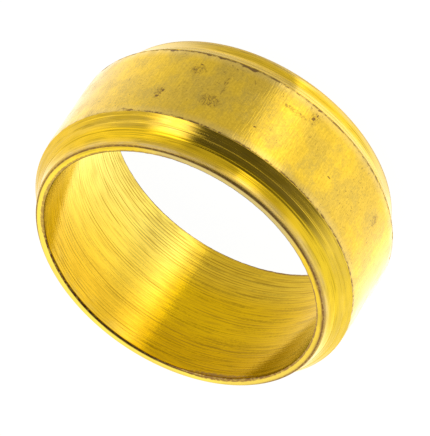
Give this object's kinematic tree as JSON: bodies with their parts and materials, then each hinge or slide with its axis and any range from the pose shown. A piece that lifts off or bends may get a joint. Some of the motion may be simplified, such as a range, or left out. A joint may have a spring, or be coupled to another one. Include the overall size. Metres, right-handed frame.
{
  "type": "compression olive",
  "caption": "Plain brass sealing ring with a round pipe bore, a flat outer band and a two-step cone turned on each end, squeezed onto pipe by a compression fitting's nut.",
  "frame": {"origin": "middle of the lower end face, on the ring's axis", "axes": "+Z along the bore's axis, from the lower end face to the upper one; X and Y are alike"},
  "size_m": [0.0176, 0.0176, 0.0081],
  "materials": {
    "turned_brass": "satin drawn skin on the band with light tarnish, bright turned cones, end faces and bore"
  },
  "bodies": {
    "root": {"compression_olive": "turned_brass"}
  },
  "joints": []
}
